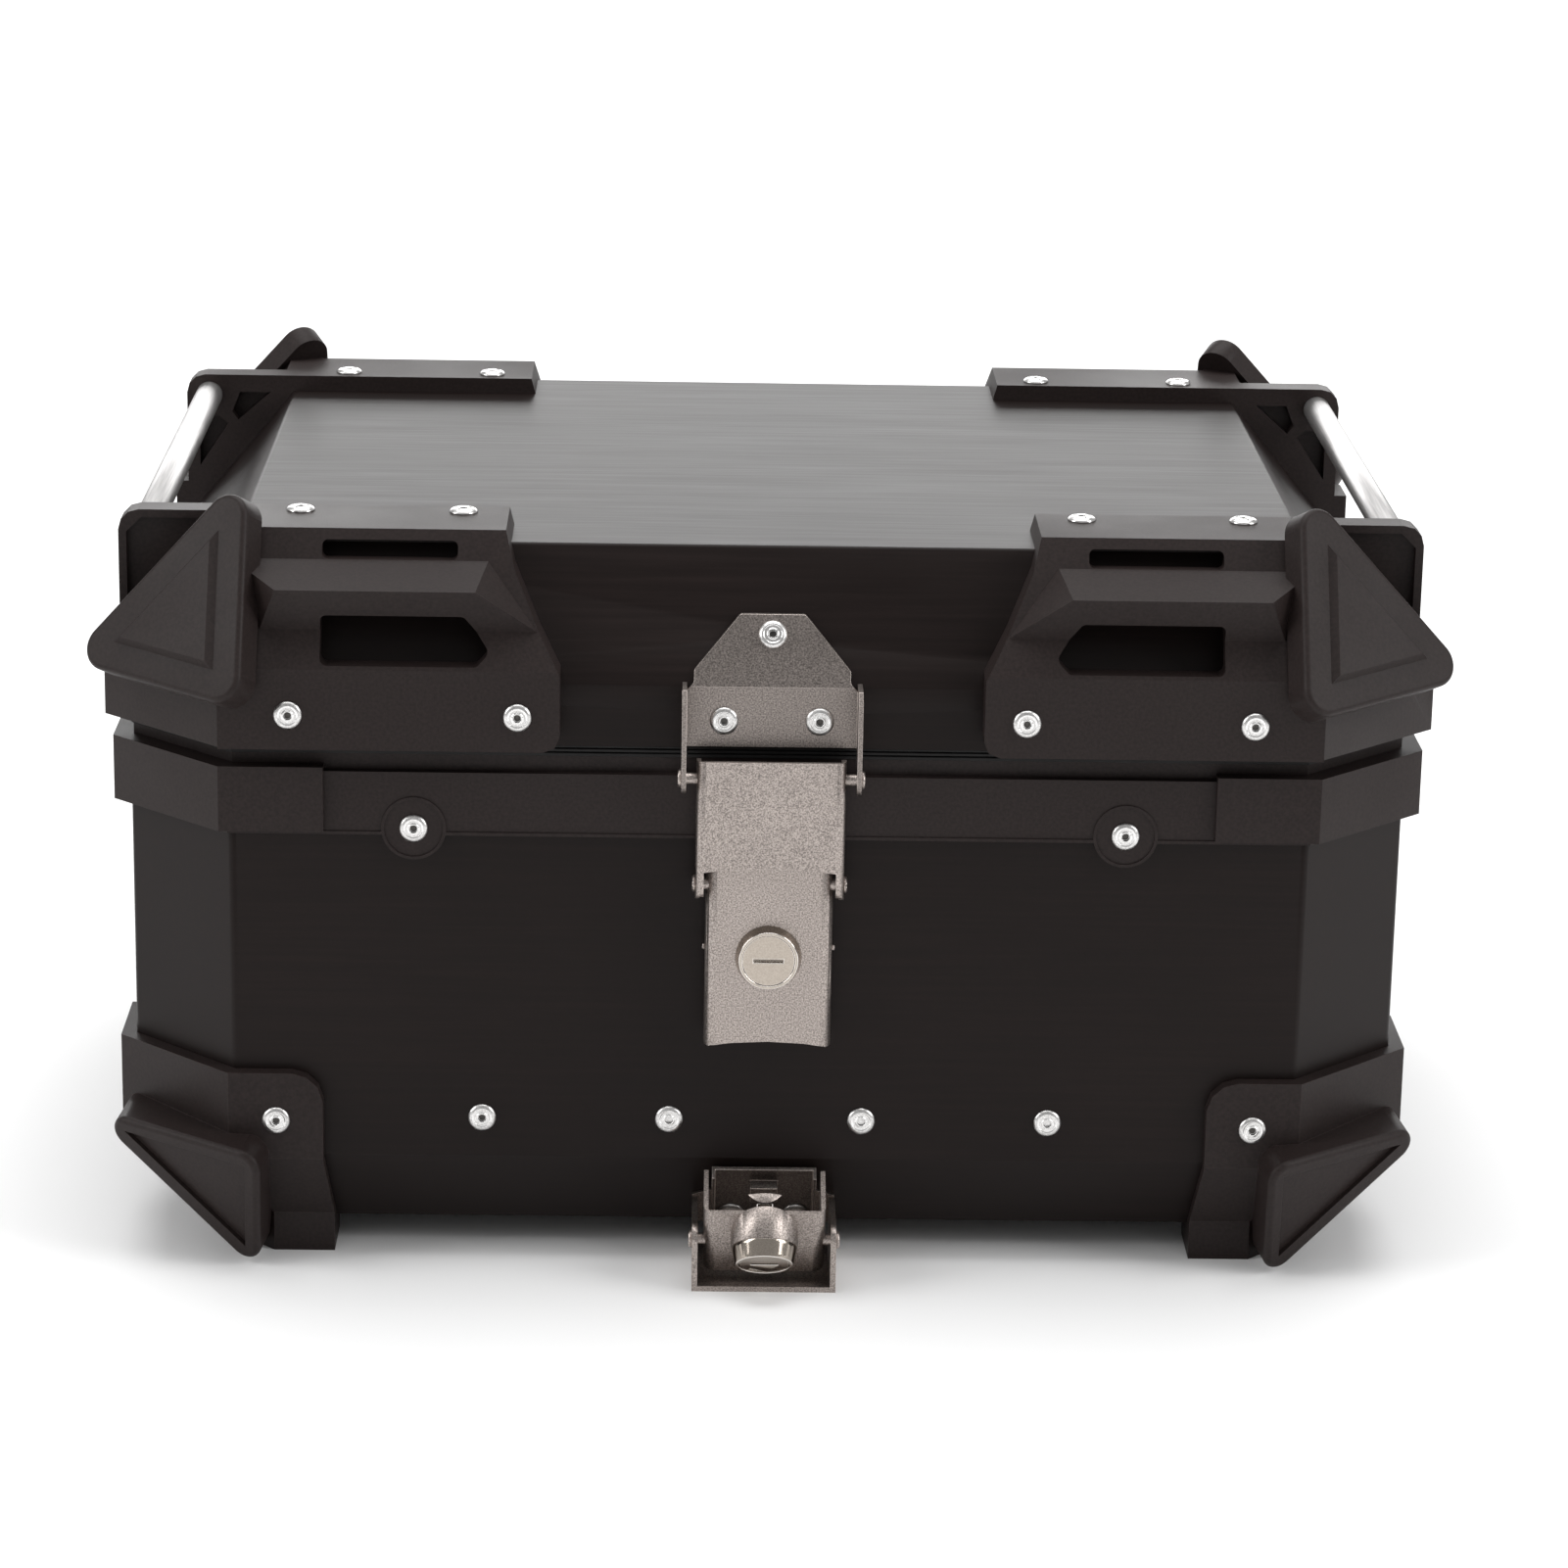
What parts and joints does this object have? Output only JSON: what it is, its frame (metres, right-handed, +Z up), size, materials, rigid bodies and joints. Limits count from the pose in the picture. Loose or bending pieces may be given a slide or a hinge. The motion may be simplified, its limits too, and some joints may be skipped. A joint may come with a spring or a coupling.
{
  "type": "motorcycle top case",
  "caption": "hard motorcycle top case with a rear-hinged lid, corner guards, strap tubes, a fold-over front latch with lock and a locking mount latch below",
  "frame": {"origin": "on the standing plane, under the middle of the whole outline", "axes": "+Z up, -Y to the front with the lid latch, +X to the right as seen from the front"},
  "size_m": [0.5886, 0.489, 0.3424],
  "materials": {
    "black_coated_sheet": "fine satin black powder coat on aluminium sheet",
    "black_plastic": "moulded black plastic with a fine grain",
    "black_rubber": "smooth black rubber",
    "blasted_stainless": "bead-blasted stainless steel",
    "bright_aluminium": "plain bright aluminium",
    "satin_tube": "satin anodised aluminium",
    "polished_nickel": "polished nickel-plated zinc"
  },
  "bodies": {
    "case": {"body_guard_front_left": "black_plastic", "body_guard_front_right": "black_plastic", "body_guard_rear_left": "black_plastic", "body_guard_rear_right": "black_plastic", "body_guard_rivets": "bright_aluminium", "body_row_rivets": "bright_aluminium", "body_wall": "black_coated_sheet", "bottom_tray": "black_coated_sheet", "hinge_body_leaf_left": "blasted_stainless", "hinge_body_leaf_right": "blasted_stainless", "hinge_body_rivets": "bright_aluminium", "hinge_pin_left": "blasted_stainless", "hinge_pin_right": "blasted_stainless", "hook_rivets": "bright_aluminium", "keeper_rivets": "bright_aluminium", "latch_keeper": "blasted_stainless", "lid_seal": "black_rubber", "mount_bracket": "blasted_stainless", "mount_lever_pins": "blasted_stainless", "mount_rivets": "bright_aluminium", "mount_strike": "blasted_stainless", "rear_mount_hook_left": "blasted_stainless", "rear_mount_hook_right": "blasted_stainless", "rim_collar": "black_plastic", "rim_rivets": "bright_aluminium"},
    "lid": {"handle_tube_left": "satin_tube", "handle_tube_right": "satin_tube", "hinge_lid_leaf_left": "blasted_stainless", "hinge_lid_leaf_right": "blasted_stainless", "hinge_lid_rivets": "bright_aluminium", "latch_bracket": "blasted_stainless", "latch_bracket_rivets": "bright_aluminium", "latch_link_pins": "blasted_stainless", "lid_guard_face_rivets": "bright_aluminium", "lid_guard_front_left": "black_plastic", "lid_guard_front_right": "black_plastic", "lid_guard_rear_left": "black_plastic", "lid_guard_rear_right": "black_plastic", "lid_guard_top_rivets": "bright_aluminium", "lid_shell": "black_coated_sheet"},
    "latch_link": {"latch_link": "blasted_stainless", "latch_handle_pins": "blasted_stainless"},
    "latch_handle": {"latch_handle": "blasted_stainless", "latch_lock_bezel": "polished_nickel", "latch_lock_nut": "polished_nickel", "handle_side_pins": "blasted_stainless"},
    "latch_lock": {"latch_lock_plug": "polished_nickel", "latch_lock_cam": "polished_nickel"},
    "mount_lever": {"mount_lever": "blasted_stainless", "mount_lock_bezel": "polished_nickel"},
    "mount_lock": {"mount_lock_plug": "polished_nickel", "mount_lock_cam": "polished_nickel"}
  },
  "joints": [
    {"name": "lid_hinge", "type": "hinge", "parent": "case", "child": "lid", "pos_m": [0, 0.2225, 0.2355], "axis": [-1, 0, 0], "range_deg": [0, 95]},
    {"name": "latch_link_hinge", "type": "hinge", "parent": "lid", "child": "latch_link", "pos_m": [0, -0.2075, 0.2275], "axis": [-1, 0, 0], "range_deg": [0, 100]},
    {"name": "latch_handle_hinge", "type": "hinge", "parent": "latch_link", "child": "latch_handle", "pos_m": [0, -0.206, 0.18], "axis": [-1, 0, 0], "range_deg": [0, 75]},
    {"name": "latch_lock_turn", "type": "hinge", "parent": "latch_handle", "child": "latch_lock", "pos_m": [0, -0.21, 0.148], "axis": [0, 1, 0], "range_deg": [0, 90]},
    {"name": "mount_lever_hinge", "type": "hinge", "parent": "case", "child": "mount_lever", "pos_m": [0, -0.22, 0.0217], "axis": [1, 0, 0], "range_deg": [0, 45]},
    {"name": "mount_lock_turn", "type": "hinge", "parent": "mount_lever", "child": "mount_lock", "pos_m": [0, -0.2323, 0.02242], "axis": [0, 0.6428, 0.766], "range_deg": [0, 90]}
  ]
}
